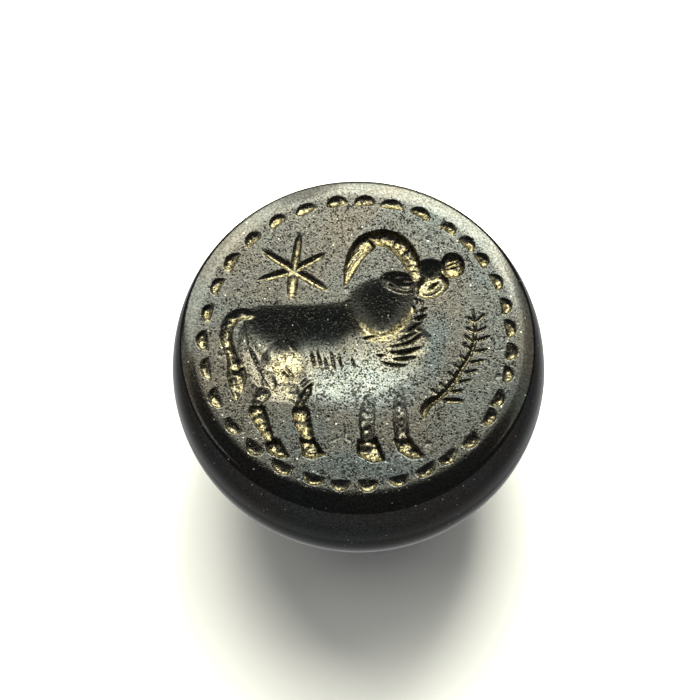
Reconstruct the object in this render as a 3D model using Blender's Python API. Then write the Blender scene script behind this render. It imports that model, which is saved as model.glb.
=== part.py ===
"""A bead seal: a turned stone dome, bored for a string, with a ram engraved on its flat face.

The seal stands on its foot, face up. +Y points to the top of the engraved picture and +X to
its right. The foot's centre is the origin.
"""
import math

import bmesh
import bpy
from mathutils import Vector

MM = 0.001

# The turned body.
EQUATOR_RADIUS = 12.0 * MM
FACE_RADIUS = 10.65 * MM
SHOULDER_DROP = 4.6 * MM
BACK_DEPTH = 10.4 * MM
FOOT_RADIUS = 3.0 * MM
LEAN = 0.12 * MM
LEAN_ANGLE = math.radians(-35)
BODY_SIDES = 80
SHOULDER_STEPS = 8
BACK_STEPS = 11

# The string hole, along X.
BORE_RADIUS = 3.0 * MM
BORE_AXIS_Z = 6.9 * MM
BORE_SIDES = 32

# The border of notches, one after another clockwise from the top.
NOTCH_COUNT = 33
NOTCH_EDGE_GAP = 0.9 * MM
NOTCH_WIDTH = 1.3 * MM
NOTCH_REACH = 0.62 * MM
NOTCH_DEPTH = 0.4 * MM
NOTCH_FIRST_ANGLE = math.radians(-3.3)
NOTCH_DRIFT = math.radians(6.5)
NOTCH_ARC_STEPS = 5

# The engraved picture is drawn in millimetres from the face's centre, in a circle of this
# radius, and scaled to the field inside the border. Depths are millimetres too.
DRAWN_FIELD_RADIUS = 9.4
FIELD_EDGE_GAP = 1.25 * MM
CUT_DEPTH_SCALE = 1.0

# How far a cutter rises over the face, and how finely a round one is faceted.
CUTTER_RISE = 0.6
BOWL_SIDES = 18
BOWL_RINGS = 4
GROOVE_SIDES = 10
GROOVE_RINGS = 2
CHANNEL_STEPS = 5

# Bowls: name, centre x, y, half length, half width, turn in degrees, depth.
RAM_BOWLS = (
    ("trunk", -2.60, 0.05, 4.90, 2.20, 0, 1.05),
    ("belly", -1.30, -1.50, 4.70, 1.80, -2, 0.42),
    ("haunch", -5.35, -1.20, 2.65, 2.00, 98, 0.80),
    ("rump", -6.70, 1.00, 1.15, 1.20, 60, 0.62),
    ("chest", 1.30, 1.90, 2.55, 1.85, 28, 1.35),
    ("throat", 3.05, 2.70, 1.30, 0.85, 62, 0.80),
    ("mane", 2.60, 0.10, 1.95, 1.60, 22, 0.42),
    ("muzzle", 6.08, 5.15, 0.72, 0.70, 0, 0.62),
    ("cheek", 4.80, 3.75, 1.02, 0.68, 30, 0.52),
    ("tuft", -7.65, -2.60, 1.40, 0.56, 94, 0.38),
    ("left_shin", -6.00, -5.25, 1.05, 0.50, -75, 0.45),
    ("right_shin", -3.52, -5.05, 0.90, 0.55, 84, 0.45),
)

# Grooves: name, start x, y, end x, y, half width at the start and end, depth at both.
RAM_GROOVES = (
    ("neck", 1.55, 2.60, 3.20, 4.40, 1.55, 0.95, 1.15, 0.80),
    ("brow", 3.40, 4.80, 5.60, 5.15, 0.62, 0.45, 0.75, 0.55),
    ("nape", 2.20, 4.20, 3.50, 4.50, 0.45, 0.50, 0.45, 0.60),
    ("left_hock", -5.60, -2.70, -6.05, -4.30, 0.95, 0.42, 0.50, 0.36),
    ("left_pastern", -5.80, -5.90, -5.30, -6.70, 0.30, 0.26, 0.32, 0.32),
    ("right_hock", -4.30, -2.70, -3.45, -4.20, 0.95, 0.38, 0.48, 0.34),
    ("right_pastern", -3.40, -5.60, -3.05, -6.70, 0.36, 0.28, 0.34, 0.32),
    ("near_foreleg", 0.75, -2.60, 0.72, -6.70, 0.42, 0.34, 0.12, 0.32),
    ("far_foreleg", 2.60, -2.60, 2.72, -6.50, 0.42, 0.34, 0.12, 0.32),
)

# The tail, a strap from the rump down to the tuft: points, then half width and depth.
TAIL = ((-6.90, 1.60), (-7.70, 1.75), (-8.25, 1.15), (-8.42, 0.10), (-8.20, -1.00), (-7.85, -2.10))
TAIL_HALF_WIDTH = 0.34
TAIL_DEPTH = 0.36

# Hooves: name, top centre x, y, bottom centre x, y, half width at the top and bottom.
HOOVES = (
    ("left_hind_hoof", -5.15, -6.50, -4.95, -7.75, 0.32, 0.80),
    ("right_hind_hoof", -3.02, -6.55, -2.68, -7.85, 0.52, 0.68),
    ("near_fore_hoof", 0.56, -6.60, 0.85, -8.05, 0.58, 0.84),
    ("far_fore_hoof", 2.68, -6.45, 3.35, -7.98, 0.58, 0.88),
)
HOOF_DEPTH = 0.42

# The horn is a crescent: a centre, a radius, the angles of its ends, and its thickness.
HORN_CENTRE = (1.50, 5.05)
HORN_RADIUS = 1.90
HORN_START_ANGLE = -14
HORN_END_ANGLE = 184
HORN_STEPS = 14
HORN_BASE_HALF_WIDTH = 0.36
HORN_MIDDLE_HALF_WIDTH = 0.60
HORN_TIP_HALF_WIDTH = 0.14
HORN_DEPTH = 0.62

# The mane's locks run from the shoulder out to the throat's edge: start and end points.
MANE_LOCKS = (
    ((3.55, 1.30), (4.45, 2.15)),
    ((3.00, 0.75), (4.35, 1.65)),
    ((2.50, 0.10), (4.25, 1.10)),
    ((2.00, -0.35), (4.15, 0.50)),
    ((1.50, -0.60), (4.00, -0.10)),
    ((1.90, -1.10), (3.90, -0.75)),
    ((1.30, -1.30), (3.40, -1.65)),
)
MANE_HALF_WIDTH = 0.15
MANE_SHAFT = 0.40
MANE_DEPTH = 0.62

# The ribs are a row of slanting cuts.
RIB_COUNT = 5
RIB_FIRST = (-2.95, -0.40)
RIB_PITCH = 0.42
RIB_SLANT = 0.30
RIB_LENGTH = 1.35
RIB_HALF_WIDTH = 0.11
RIB_SHAFT = 0.90
RIB_DEPTH = 1.08

# The star: a centre and the tips of its rays.
STAR_CENTRE = (-4.05, 4.80)
STAR_TIPS = (
    (-3.69, 7.46),
    (-2.00, 6.00),
    (-1.88, 3.40),
    (-4.22, 2.80),
    (-6.34, 4.12),
    (-6.14, 6.24),
)
STAR_HALF_WIDTH = 0.24
STAR_DEPTH = 0.30
STAR_OVERLAP = 0.3

# The branch: its stem's points from the top, and the leaves on both sides.
STEM = (
    (7.50, 2.25),
    (7.36, 0.90),
    (7.33, -0.30),
    (6.80, -1.70),
    (6.00, -3.25),
    (5.00, -4.20),
    (4.30, -4.60),
    (4.15, -5.20),
)
STEM_HALF_WIDTH = 0.17
STEM_DEPTH = 0.34
LEAF_COUNT = 8
LEAF_FIRST_SHARE = 0.07
LEAF_LAST_SHARE = 0.76
LEAF_LENGTH = 0.85
LEAF_HALF_WIDTH = 0.17
LEAF_DEPTH = 0.28
RIGHT_LEAF_ANGLE = math.radians(18)
LEFT_LEAF_ANGLE = math.radians(132)

FACE_Z = BACK_DEPTH + SHOULDER_DROP
BORDER_RADIUS = FACE_RADIUS - NOTCH_EDGE_GAP
DRAWING_UNIT = (FACE_RADIUS - FIELD_EDGE_GAP) / DRAWN_FIELD_RADIUS


def clear_scene():
    for old in list(bpy.data.objects):
        bpy.data.objects.remove(old, do_unlink=True)


def stone_material():
    """Dark polished stone with a dull metallic shine."""
    material = bpy.data.materials.new("dark_stone")
    material.use_nodes = True
    shader = material.node_tree.nodes["Principled BSDF"]
    shader.inputs["Base Color"].default_value = (0.045, 0.042, 0.038, 1.0)
    shader.inputs["Metallic"].default_value = 0.6
    shader.inputs["Roughness"].default_value = 0.32
    return material


def body_profile():
    """Radius and height from the foot's rim up the back, over the shoulder to the face."""
    foot_angle = math.asin(FOOT_RADIUS / EQUATOR_RADIUS)
    back_semi_axis = BACK_DEPTH / math.cos(foot_angle)
    profile = []
    for step in range(BACK_STEPS):
        angle = foot_angle + (math.pi / 2 - foot_angle) * step / BACK_STEPS
        radius = EQUATOR_RADIUS * math.sin(angle)
        profile.append((radius, BACK_DEPTH - back_semi_axis * math.cos(angle)))
    for step in range(SHOULDER_STEPS + 1):
        angle = math.pi / 2 * step / SHOULDER_STEPS
        radius = FACE_RADIUS + (EQUATOR_RADIUS - FACE_RADIUS) * math.cos(angle)
        profile.append((radius, BACK_DEPTH + SHOULDER_DROP * math.sin(angle)))
    return profile


def lean(point):
    """The widest level sits a little off the axis, and the face and the foot sit on it."""
    share = math.sin(math.pi * min(max(point.z / FACE_Z, 0.0), 1.0))
    offset = LEAN * share * math.hypot(point.x, point.y) / EQUATOR_RADIUS
    return Vector((offset * math.cos(LEAN_ANGLE), offset * math.sin(LEAN_ANGLE), 0.0))


def make_body():
    """Spin the profile into rings of points, skin them and close both flat ends."""
    mesh = bmesh.new()
    rings = []
    for radius, height in body_profile():
        ring = []
        for side in range(BODY_SIDES):
            angle = 2 * math.pi * side / BODY_SIDES
            point = Vector((radius * math.cos(angle), radius * math.sin(angle), height))
            ring.append(mesh.verts.new(point + lean(point)))
        rings.append(ring)
    for lower, upper in zip(rings, rings[1:]):
        for side in range(BODY_SIDES):
            after = (side + 1) % BODY_SIDES
            wall = mesh.faces.new((lower[side], lower[after], upper[after], upper[side]))
            wall.smooth = True
    mesh.faces.new(rings[-1])
    mesh.faces.new(reversed(rings[0]))
    return finish_mesh(mesh, "seal")


def finish_mesh(mesh, name):
    data = bpy.data.meshes.new(name)
    mesh.to_mesh(data)
    mesh.free()
    made = bpy.data.objects.new(name, data)
    bpy.context.scene.collection.objects.link(made)
    return made


def add_cutter(points, name, cutters):
    """One cutter: the closed hull of its points, kept out of renders."""
    mesh = bmesh.new()
    for point in points:
        mesh.verts.new(point)
    hull = bmesh.ops.convex_hull(mesh, input=mesh.verts)
    unused = [item for item in hull["geom_interior"] if isinstance(item, bmesh.types.BMVert)]
    bmesh.ops.delete(mesh, geom=unused, context="VERTS")
    bmesh.ops.recalc_face_normals(mesh, faces=mesh.faces)
    keep_as_cutter(finish_mesh(mesh, name), cutters)


def keep_as_cutter(cutter, cutters):
    bpy.context.scene.collection.objects.unlink(cutter)
    cutters.objects.link(cutter)
    cutter.hide_render = True
    cutter.display_type = "WIRE"


def on_face(x, y, depth):
    """A point of the picture, in millimetres, so far under the face."""
    return Vector((
        x * DRAWING_UNIT,
        y * DRAWING_UNIT,
        FACE_Z - depth * MM * CUT_DEPTH_SCALE,
    ))


def bowl_points(x, y, half_length, half_width, turn, depth, sides, rings):
    """Rings of a hanging half ellipsoid, with one more ring over the face."""
    points = []
    for ring in range(-1, rings):
        slope = math.pi / 2 * max(ring, 0) / rings
        sink = depth * math.sin(slope)
        if ring < 0:
            sink = -CUTTER_RISE
        for side in range(sides):
            angle = 2 * math.pi * side / sides
            along = half_length * math.cos(slope) * math.cos(angle)
            across = half_width * math.cos(slope) * math.sin(angle)
            points.append(on_face(
                x + along * math.cos(turn) - across * math.sin(turn),
                y + along * math.sin(turn) + across * math.cos(turn),
                sink,
            ))
    points.append(on_face(x, y, depth))
    return points


def cut_bowl(name, x, y, half_length, half_width, turn_degrees, depth, cutters):
    turn = math.radians(turn_degrees)
    points = bowl_points(x, y, half_length, half_width, turn, depth, BOWL_SIDES, BOWL_RINGS)
    add_cutter(points, name, cutters)


def cut_groove(name, x0, y0, x1, y1, width0, width1, depth0, depth1, cutters):
    """A round-bottomed groove that tapers from one end bowl to the other."""
    start = bowl_points(x0, y0, width0, width0, 0.0, depth0, GROOVE_SIDES, GROOVE_RINGS)
    end = bowl_points(x1, y1, width1, width1, 0.0, depth1, GROOVE_SIDES, GROOVE_RINGS)
    add_cutter(start + end, name, cutters)


def cut_channel(name, stations, cutters):
    """A curved groove: round-bottomed sections across a path, each with its width and depth."""
    mesh = bmesh.new()
    sections = []
    for number, (x, y, half_width, depth) in enumerate(stations):
        before = stations[max(number - 1, 0)]
        after = stations[min(number + 1, len(stations) - 1)]
        heading = math.atan2(after[1] - before[1], after[0] - before[0])
        side_x = -math.sin(heading) * half_width
        side_y = math.cos(heading) * half_width
        section = [on_face(x - side_x, y - side_y, -CUTTER_RISE)]
        for step in range(CHANNEL_STEPS + 1):
            angle = math.pi * step / CHANNEL_STEPS
            across = -math.cos(angle)
            sink = depth * math.sin(angle)
            section.append(on_face(x + across * side_x, y + across * side_y, sink))
        section.append(on_face(x + side_x, y + side_y, -CUTTER_RISE))
        sections.append([mesh.verts.new(point) for point in section])
    count = len(sections[0])
    for near, far in zip(sections, sections[1:]):
        for corner in range(count):
            following = (corner + 1) % count
            mesh.faces.new((near[corner], near[following], far[following], far[corner]))
    mesh.faces.new(sections[0])
    mesh.faces.new(reversed(sections[-1]))
    bmesh.ops.recalc_face_normals(mesh, faces=mesh.faces)
    keep_as_cutter(finish_mesh(mesh, name), cutters)


def cut_vee(name, start, end, half_width, depth, cutters, belly=0.5, shaft=0.0):
    """A pointed cut, widest at the belly: a slim diamond, straight down the shaft, over a keel."""
    x0, y0 = start
    x1, y1 = end
    length = math.hypot(x1 - x0, y1 - y0)
    side_x = -(y1 - y0) / length * half_width
    side_y = (x1 - x0) / length * half_width
    middle_x = x0 + (x1 - x0) * belly
    middle_y = y0 + (y1 - y0) * belly
    outline = (
        (x0, y0),
        (middle_x - side_x, middle_y - side_y),
        (x1, y1),
        (middle_x + side_x, middle_y + side_y),
    )
    points = [on_face(middle_x, middle_y, depth)]
    for x, y in outline:
        points.append(on_face(x, y, shaft))
        points.append(on_face(x, y, -CUTTER_RISE))
    add_cutter(points, name, cutters)


def cut_hoof(name, top_x, top_y, bottom_x, bottom_y, top_half, bottom_half, cutters):
    """A hoof: a wedge-shaped pit with sloping sides, broad at the sole."""
    outline = (
        (top_x - top_half, top_y),
        (top_x + top_half, top_y),
        (bottom_x + bottom_half, bottom_y),
        (bottom_x - bottom_half, bottom_y + 0.2 * bottom_half),
    )
    centre_x = (top_x + bottom_x) / 2
    centre_y = (top_y + bottom_y) / 2
    floor_share = 0.55
    points = []
    for x, y in outline:
        points.append(on_face(x, y, 0.0))
        points.append(on_face(x, y, -CUTTER_RISE))
        floor_x = centre_x + (x - centre_x) * floor_share
        floor_y = centre_y + (y - centre_y) * floor_share
        points.append(on_face(floor_x, floor_y, HOOF_DEPTH))
    add_cutter(points, name, cutters)


def cut_horn(cutters):
    """A crescent, thick in the middle and fine at the tip."""
    stations = []
    for step in range(HORN_STEPS + 1):
        share = step / HORN_STEPS
        angle = math.radians(HORN_START_ANGLE + (HORN_END_ANGLE - HORN_START_ANGLE) * share)
        ends = HORN_BASE_HALF_WIDTH * (1 - share) + HORN_TIP_HALF_WIDTH * share
        swell = math.sin(math.pi * share) ** 0.6
        half_width = ends + (HORN_MIDDLE_HALF_WIDTH - ends) * swell
        x = HORN_CENTRE[0] + HORN_RADIUS * math.cos(angle)
        y = HORN_CENTRE[1] + HORN_RADIUS * math.sin(angle)
        stations.append((x, y, half_width, HORN_DEPTH * half_width / HORN_MIDDLE_HALF_WIDTH))
    cut_channel("horn", stations, cutters)


def cut_ram(cutters):
    for name, x, y, half_length, half_width, turn, depth in RAM_BOWLS:
        cut_bowl(name, x, y, half_length, half_width, turn, depth, cutters)
    for groove in RAM_GROOVES:
        cut_groove(*groove, cutters)
    for hoof in HOOVES:
        cut_hoof(*hoof, cutters)
    cut_horn(cutters)
    cut_channel("tail", [(x, y, TAIL_HALF_WIDTH, TAIL_DEPTH) for x, y in TAIL], cutters)
    for number, (start, end) in enumerate(MANE_LOCKS):
        cut_vee(
            f"lock_{number}", start, end, MANE_HALF_WIDTH, MANE_DEPTH, cutters,
            belly=0.65, shaft=MANE_SHAFT,
        )
    for number in range(RIB_COUNT):
        start = (RIB_FIRST[0] + RIB_PITCH * number, RIB_FIRST[1])
        end = (start[0] + RIB_SLANT, start[1] - RIB_LENGTH)
        cut_vee(f"rib_{number}", start, end, RIB_HALF_WIDTH, RIB_DEPTH, cutters, shaft=RIB_SHAFT)


def cut_star(cutters):
    """Rays that cross the centre a little, so that they run into one another."""
    for number, tip in enumerate(STAR_TIPS):
        way_x = tip[0] - STAR_CENTRE[0]
        way_y = tip[1] - STAR_CENTRE[1]
        overlap = STAR_OVERLAP / math.hypot(way_x, way_y)
        start = (STAR_CENTRE[0] - way_x * overlap, STAR_CENTRE[1] - way_y * overlap)
        cut_vee(f"ray_{number}", start, tip, STAR_HALF_WIDTH, STAR_DEPTH, cutters, belly=0.4)


def point_on_stem(share):
    """The point that lies this share of the way down the stem."""
    place = share * (len(STEM) - 1)
    before = min(int(place), len(STEM) - 2)
    rest = place - before
    x0, y0 = STEM[before]
    x1, y1 = STEM[before + 1]
    return x0 + (x1 - x0) * rest, y0 + (y1 - y0) * rest


def cut_branch(cutters):
    cut_channel("stem", [(x, y, STEM_HALF_WIDTH, STEM_DEPTH) for x, y in STEM], cutters)
    for number in range(LEAF_COUNT):
        share = LEAF_FIRST_SHARE + (LEAF_LAST_SHARE - LEAF_FIRST_SHARE) * number / (LEAF_COUNT - 1)
        root = point_on_stem(share)
        for side, angle in (("right", RIGHT_LEAF_ANGLE), ("left", LEFT_LEAF_ANGLE)):
            tip = (root[0] + LEAF_LENGTH * math.cos(angle), root[1] + LEAF_LENGTH * math.sin(angle))
            cut_vee(f"leaf_{side}_{number}", root, tip, LEAF_HALF_WIDTH, LEAF_DEPTH, cutters)


def cut_notches(cutters):
    """D-shaped pits round the edge, straight side in, crowding together on the right."""
    half_width = NOTCH_WIDTH / 2
    for number in range(NOTCH_COUNT):
        turn = 2 * math.pi * number / NOTCH_COUNT
        clockwise = NOTCH_FIRST_ANGLE + turn + NOTCH_DRIFT * math.cos(turn)
        outward = Vector((math.sin(clockwise), math.cos(clockwise), 0.0))
        sideways = Vector((outward.y, -outward.x, 0.0))
        chord = outward * (BORDER_RADIUS - NOTCH_REACH / 2)
        points = []
        for level, size in ((-CUTTER_RISE * MM, 1.0), (0.0, 1.0), (NOTCH_DEPTH, 0.5)):
            for step in range(NOTCH_ARC_STEPS + 1):
                angle = math.pi * step / NOTCH_ARC_STEPS
                side_way = sideways * half_width * size * math.cos(angle)
                out_way = outward * NOTCH_REACH * size * math.sin(angle)
                start = outward * NOTCH_REACH * 0.15 * (1.0 - size)
                flat = chord + start + side_way + out_way
                points.append(Vector((flat.x, flat.y, FACE_Z - level)))
        add_cutter(points, f"notch_{number}", cutters)


def cut_bore(cutters):
    """The string hole, right through along X."""
    def ring(x, radius):
        for side in range(BORE_SIDES):
            angle = 2 * math.pi * side / BORE_SIDES
            across = radius * math.cos(angle)
            yield Vector((x, across, BORE_AXIS_Z + radius * math.sin(angle)))

    reach = EQUATOR_RADIUS * 1.2
    points = list(ring(-reach, BORE_RADIUS)) + list(ring(reach, BORE_RADIUS))
    add_cutter(points, "bore", cutters)


def main():
    clear_scene()
    cutters = bpy.data.collections.new("cutters")
    bpy.context.scene.collection.children.link(cutters)
    seal = make_body()
    seal.data.materials.append(stone_material())
    cut_ram(cutters)
    cut_star(cutters)
    cut_branch(cutters)
    cut_notches(cutters)
    cut_bore(cutters)
    carving = seal.modifiers.new("carving", "BOOLEAN")
    carving.operation = "DIFFERENCE"
    carving.operand_type = "COLLECTION"
    carving.collection = cutters
    carving.solver = "EXACT"


main()
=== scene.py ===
# %% [markdown]
# # A bead seal with an engraved ram
# The object is one piece of dark, iron-rich stone: a dome with a flat face, bored from side to
# side for a string. A ram, a star and a leafy branch are cut into the face, inside a border of
# small notches. Pressed into clay, the hollows give a raised picture.
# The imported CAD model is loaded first. It fixes the size and the place of everything here.
# Blender works in metres, so each size is written in millimetres and multiplied by MM. The cuts
# of the face are worked out in plain millimetres, with x to the right and y to the top.

# %% Load the frame
import math

import bmesh
import bpy
import numpy as np
from mathutils import Matrix, Vector


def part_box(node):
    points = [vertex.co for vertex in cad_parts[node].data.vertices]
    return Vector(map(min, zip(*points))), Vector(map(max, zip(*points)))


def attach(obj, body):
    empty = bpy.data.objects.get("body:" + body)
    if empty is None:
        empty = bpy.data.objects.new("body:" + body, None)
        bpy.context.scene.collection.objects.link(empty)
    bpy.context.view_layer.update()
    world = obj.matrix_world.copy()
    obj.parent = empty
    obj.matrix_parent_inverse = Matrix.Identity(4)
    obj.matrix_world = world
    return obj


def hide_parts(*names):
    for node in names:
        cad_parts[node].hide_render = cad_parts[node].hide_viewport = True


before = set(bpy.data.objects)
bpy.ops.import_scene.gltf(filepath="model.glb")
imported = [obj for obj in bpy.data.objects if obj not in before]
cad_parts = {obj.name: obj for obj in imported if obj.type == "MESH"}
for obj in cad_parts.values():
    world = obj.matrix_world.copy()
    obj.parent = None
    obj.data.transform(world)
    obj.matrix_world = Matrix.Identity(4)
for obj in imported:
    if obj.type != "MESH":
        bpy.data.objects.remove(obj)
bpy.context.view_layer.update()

low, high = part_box("seal")
MM = 0.001
FACE_Z = high.z
print("CAD box in mm:", [round(side / MM, 2) for side in high - low])

# %% [markdown]
# ## A clean start
# Blender's operators act on what is selected, so everything is deselected before each step.


# %% Deselect everything
def deselect():
    if bpy.context.object and bpy.context.object.mode != "OBJECT":
        bpy.ops.object.mode_set(mode="OBJECT")
    bpy.ops.object.select_all(action="DESELECT")


deselect()
print("selected objects:", len(bpy.context.selected_objects))

# %% [markdown]
# ## The dome
# A lapidary ground the bead round by eye. A lathe modifier or a spin would give the same shape.
# Here a disc the size of the foot is extruded upwards ring by ring and widened each time, so the
# foot, the back, the widest level and the shoulder come from one row of sizes.

# %% Smooth curves
def smooth_path(points, pieces=6):
    """More points on a smooth curve through the ones given."""
    points = [np.array(point, float) for point in points]
    path = [points[0]]
    for number in range(len(points) - 1):
        before, start = points[max(number - 1, 0)], points[number]
        end, after = points[number + 1], points[min(number + 2, len(points) - 1)]
        for step in range(1, pieces + 1):
            t = step / pieces
            path.append(0.5 * (
                2 * start + (end - before) * t
                + (2 * before - 5 * start + 4 * end - after) * t ** 2
                + (3 * start - before - 3 * end + after) * t ** 3
            ))
    return path


print("a curve through 3 points has", len(smooth_path([(0, 0), (1, 1), (2, 0)])), "points")

# %% The profile of the dome
EQUATOR_RADIUS = 12.0 * MM
EQUATOR_Z = 10.4 * MM
FOOT_RADIUS = 3.0 * MM
# The worn face slopes down between these two radii, and its middle stands a little proud.
SLOPE_START = 10.05 * MM
SLOPE_END = 10.95 * MM
SLOPE_DROP = 0.14 * MM
SLOPE_CURVE = 1.4
CROWN_DROP = 0.10 * MM
RIM_RADII = (11.10, 11.02, 10.94, 10.86, 10.76, 10.66, 10.54, 10.42)
# Each pair is a radius and a depth below the face in mm, from the widest level up to the rim.
WALL = (
    (12.0, 4.6), (11.97, 4.0), (11.92, 3.4), (11.85, 2.8), (11.75, 2.2), (11.65, 1.7),
    (11.55, 1.28), (11.45, 0.95), (11.36, 0.68), (11.274, 0.445), (11.234, 0.378), (11.168, 0.323),
)
FRONT_WALL = (
    (12.0, 4.6), (11.99, 4.0), (12.00, 3.4), (11.99, 2.8), (11.95, 2.2), (11.86, 1.7),
    (11.75, 1.26), (11.64, 0.93), (11.53, 0.69), (11.42, 0.52), (11.31, 0.42), (11.20, 0.345),
)
FINE_RADIUS = 10.30 * MM
DOME_SIDES = 280
BACK_RINGS = 26


def edge_drop(radius):
    """How far the worn face lies below its middle at a radius: a faint crown and a sloping edge."""
    share = np.maximum(radius - SLOPE_START, 0) / (SLOPE_END - SLOPE_START)
    return CROWN_DROP * (radius / SLOPE_START) ** 2 + SLOPE_DROP * share ** SLOPE_CURVE


def dome_profile():
    """Radius and height of each ring, from the foot up to the edge of the flat face."""
    foot_angle = math.asin(FOOT_RADIUS / EQUATOR_RADIUS)
    back_semi_axis = EQUATOR_Z / math.cos(foot_angle)
    rings = []
    for step in range(1, BACK_RINGS):
        angle = foot_angle + (math.pi / 2 - foot_angle) * step / BACK_RINGS
        height = EQUATOR_Z - back_semi_axis * math.cos(angle)
        rings.append((EQUATOR_RADIUS * math.sin(angle), height))
    for radius, drop in smooth_path(WALL, pieces=3):
        rings.append((radius * MM, FACE_Z - drop * MM))
    for radius in RIM_RADII:
        rings.append((radius * MM, FACE_Z - edge_drop(radius * MM)))
    return rings


deselect()
bpy.ops.mesh.primitive_circle_add(vertices=DOME_SIDES, radius=FOOT_RADIUS, fill_type="NGON")
seal = bpy.context.object
seal.name = "engraved_seal"
bpy.ops.object.mode_set(mode="EDIT")
bpy.ops.mesh.select_all(action="SELECT")
radius_now, height_now = FOOT_RADIUS, 0.0
profile = dome_profile()
for radius, height in profile:
    rise = {"value": (0, 0, height - height_now)}
    bpy.ops.mesh.extrude_region_move(TRANSFORM_OT_translate=rise)
    widen = radius / radius_now
    bpy.ops.transform.resize(value=(widen, widen, 1), center_override=(0, 0, height))
    radius_now, height_now = radius, height
bpy.ops.mesh.select_all(action="SELECT")
bpy.ops.mesh.normals_make_consistent(inside=False)
bpy.ops.object.mode_set(mode="OBJECT")
print("dome rings:", len(profile) + 1, "points:", len(seal.data.vertices))

# %% [markdown]
# ## The string hole
# The hole was drilled through from side to side. A cylinder is taken away with a Boolean, and
# the two sharp lips are then rounded a little with a bevel, as a string wears them. Cutting loops
# by hand would work too, but a Boolean keeps the hole round. The edges of the lips are picked by
# their place, never by their number.


# %% Pick edges by their place
def make_active(piece):
    deselect()
    piece.select_set(True)
    bpy.context.view_layer.objects.active = piece


def select_edges(piece, wanted):
    """In edit mode, select just the edges for which wanted(edge) is true."""
    bpy.ops.mesh.select_mode(type="EDGE")
    bpy.ops.mesh.select_all(action="DESELECT")
    mesh = bmesh.from_edit_mesh(piece.data)
    for edge in mesh.edges:
        edge.select_set(wanted(edge))
    bmesh.update_edit_mesh(piece.data)


# %% Drill the hole
BORE_RADIUS = 3.0 * MM
BORE_AXIS_Z = 6.9 * MM
BORE_SIDES = 96
LIP_WEAR = 0.16 * MM
TOUCH = 0.02 * MM  # points closer than this count as one place

deselect()
bpy.ops.mesh.primitive_cylinder_add(
    vertices=BORE_SIDES, radius=BORE_RADIUS, depth=3 * EQUATOR_RADIUS,
    location=(0, 0, BORE_AXIS_Z), rotation=(0, math.pi / 2, 0),
)
drill = bpy.context.object
make_active(seal)
cut = seal.modifiers.new("string hole", "BOOLEAN")
cut.operation = "DIFFERENCE"
cut.solver = "EXACT"
cut.object = drill
bpy.ops.object.modifier_apply(modifier=cut.name)
bpy.data.objects.remove(drill, do_unlink=True)


def off_bore(vertex):
    """How far a point is from the wall of the string hole."""
    return abs(math.hypot(vertex.co.y, vertex.co.z - BORE_AXIS_Z) - BORE_RADIUS)


def is_lip(edge):
    """An edge where the hole's wall meets the dome."""
    if len(edge.link_faces) != 2 or max(off_bore(vertex) for vertex in edge.verts) > TOUCH:
        return False
    on_wall = [max(off_bore(vertex) for vertex in face.verts) < TOUCH for face in edge.link_faces]
    return on_wall[0] != on_wall[1]


bpy.ops.object.mode_set(mode="EDIT")
bpy.ops.mesh.select_all(action="SELECT")
bpy.ops.mesh.remove_doubles(threshold=TOUCH)
select_edges(seal, is_lip)
bpy.ops.mesh.bevel(offset=LIP_WEAR, segments=3, affect="EDGES", clamp_overlap=True)
bpy.ops.object.mode_set(mode="OBJECT")
print("points after drilling:", len(seal.data.vertices))

# %% [markdown]
# ## The fine face
# The engraving has strokes a tenth of a millimetre wide, so the face needs far smaller cells than
# the dome. A square grid is pressed into a disc: each square ring of the grid becomes a round
# ring, and the cells keep nearly the same area. The disc is bridged to the dome's open rim later,
# once it is carved.

# %% Make the fine disc
FINE_CELLS = 278

deselect()
bpy.ops.mesh.primitive_grid_add(x_subdivisions=FINE_CELLS, y_subdivisions=FINE_CELLS, size=2)
face_disc = bpy.context.object
grid_points = np.empty(len(face_disc.data.vertices) * 3)
face_disc.data.vertices.foreach_get("co", grid_points)
square = grid_points.reshape(-1, 3)


def square_to_disc(a, b):
    """Each square ring of the grid becomes a round ring."""
    wide = np.abs(a) > np.abs(b)
    ring = np.where(wide, a, b)
    safe = np.where(ring == 0, 1, ring)
    turn = np.where(wide, math.pi / 4 * b / safe, math.pi / 2 - math.pi / 4 * a / safe)
    return ring * np.cos(turn), ring * np.sin(turn)


disc_x, disc_y = square_to_disc(square[:, 0], square[:, 1])
px = disc_x * FINE_RADIUS / MM
py = disc_y * FINE_RADIUS / MM
print("cells of about", round(math.sqrt(math.pi) * FINE_RADIUS / MM / FINE_CELLS, 3), "mm")

# %% [markdown]
# ## How a cut is described
# A gem engraver works with small spinning wheels and drills fed with grit. A round drill leaves a
# bowl, a wheel leaves a groove, and a sharp wheel leaves a V. Each of those is a small function
# that gives the depth of one cut at every point of the face, in millimetres. Sculpting by brush
# would give the same forms, but numbers can be set one by one against the real seal.

# %% Depth of the face, and earth with its painted highlight
depth_map = np.zeros_like(px)
earth_and_highlight = np.zeros_like(px)
EDGE_SOFTNESS = 0.05
FILLED_CUT = 0.08  # a cut this deep holds its full share of earth
FILLED_STROKE = 0.05


def soil(share):
    """Leave earth on a place, where there isn't more of it yet."""
    earth_and_highlight[:] = np.maximum(earth_and_highlight, share)


def engrave(cut, dirt=0.0, softness=EDGE_SOFTNESS):
    """Lay a cut into the face. The deeper one wins, and the ridge between two is a little worn."""
    overlap = np.maximum(softness - np.abs(depth_map - cut), 0) / softness
    both = (depth_map > 0) & (cut > 0)
    depth_map[:] = np.maximum(depth_map, cut) + np.where(both, overlap ** 2 * softness / 4, 0)
    soil(dirt * np.clip(cut / FILLED_CUT, 0, 1))


def incise(cut, dirt=0.0):
    """Cut deeper into what is there already."""
    depth_map[:] += cut
    soil(dirt * np.clip(cut / FILLED_STROKE, 0, 1))


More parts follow.
